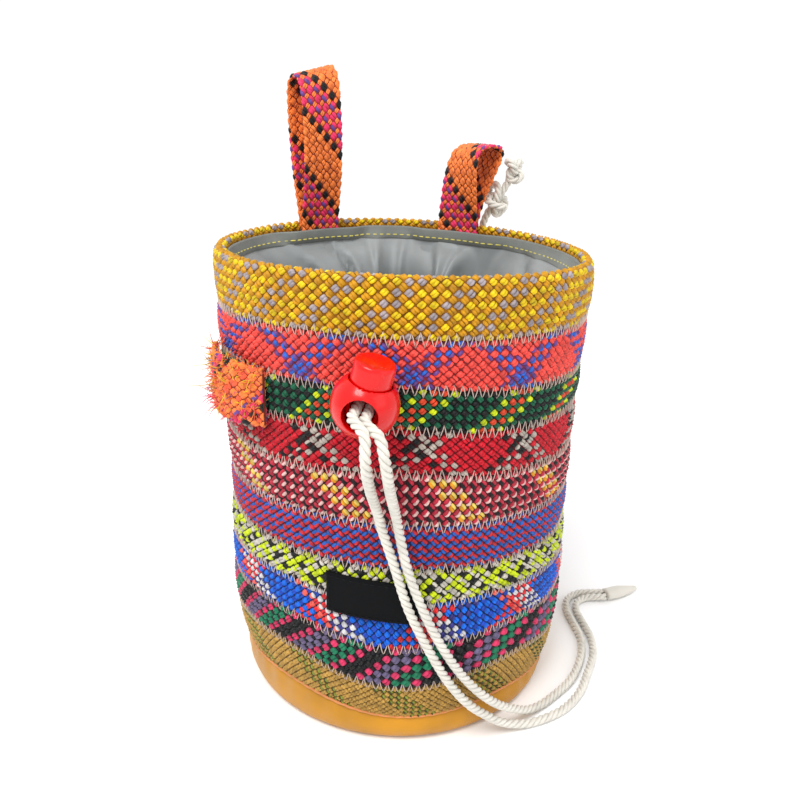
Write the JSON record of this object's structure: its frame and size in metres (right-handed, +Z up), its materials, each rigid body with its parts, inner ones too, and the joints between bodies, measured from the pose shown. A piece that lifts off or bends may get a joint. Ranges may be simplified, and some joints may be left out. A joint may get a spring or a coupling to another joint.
{
  "type": "climbing chalk bag",
  "caption": "Round climbing chalk bag of braided rope-sheath bands with a gathered grey lining, hanging loops, a brush loop, a bare label patch and a drawcord with a ball lock.",
  "frame": {"origin": "middle of the base's underside, on the floor", "axes": "+Z up through the bag's mouth, -Y towards the front with the ball lock, +X to the right seen from the front"},
  "size_m": [0.1631, 0.1468, 0.2063],
  "materials": {
    "gold_sheath": "braided nylon sheath, yellow, orange and pale grey yarn",
    "coral_sheath": "braided nylon sheath, coral with blue and purple diagonals",
    "green_sheath": "braided nylon sheath, black and green with neon yellow diagonals",
    "crimson_sheath": "braided nylon sheath, crimson with black and grey crosses",
    "burgundy_sheath": "braided nylon sheath, burgundy with white, black and gold flecks",
    "herringbone_sheath": "braided nylon sheath, red and blue herringbone",
    "neon_sheath": "braided nylon sheath, neon yellow, black and pale grey",
    "blue_sheath": "braided nylon sheath, royal blue with red and white blocks",
    "lavender_sheath": "braided nylon sheath, black, lavender grey and green slants with pink dots",
    "tan_sheath": "braided nylon sheath, tan and gold with olive patches",
    "yellow_fabric": "close woven nylon, slightly glossy",
    "grey_lining": "thin woven nylon, slight sheen",
    "orange_sheath": "braided nylon sheath, orange with pink, red and black yarn",
    "black_label": "plain woven patch with a stitched edge",
    "red_plastic": "glossy",
    "white_cord": "three-strand twisted cord"
  },
  "bodies": {
    "bag": {"band_01_gold": "gold_sheath", "band_02_coral": "coral_sheath", "band_03_green": "green_sheath", "band_04_crimson": "crimson_sheath", "band_05_burgundy": "burgundy_sheath", "band_06_herringbone": "herringbone_sheath", "band_07_neon": "neon_sheath", "band_08_blue": "blue_sheath", "band_09_lavender": "lavender_sheath", "band_10_tan": "tan_sheath", "base": "yellow_fabric", "lining": "grey_lining", "brush_loop": "orange_sheath", "label_patch": "black_label", "hanging_loop_left": "orange_sheath", "hanging_loop_right": "orange_sheath", "lock_ball": "red_plastic", "drawcord_left": "white_cord", "drawcord_right": "white_cord", "cord_end_sleeve": "white_cord", "tie_cord": "white_cord"},
    "button": {"lock_button": "red_plastic"}
  },
  "joints": [
    {"name": "lock_button_press", "type": "slide", "parent": "bag", "child": "button", "axis": [-0.2266, 0.1321, -0.965], "range_m": [0, 0.0028], "stiffness_N_per_m": 400, "springref_m": -0.002}
  ]
}
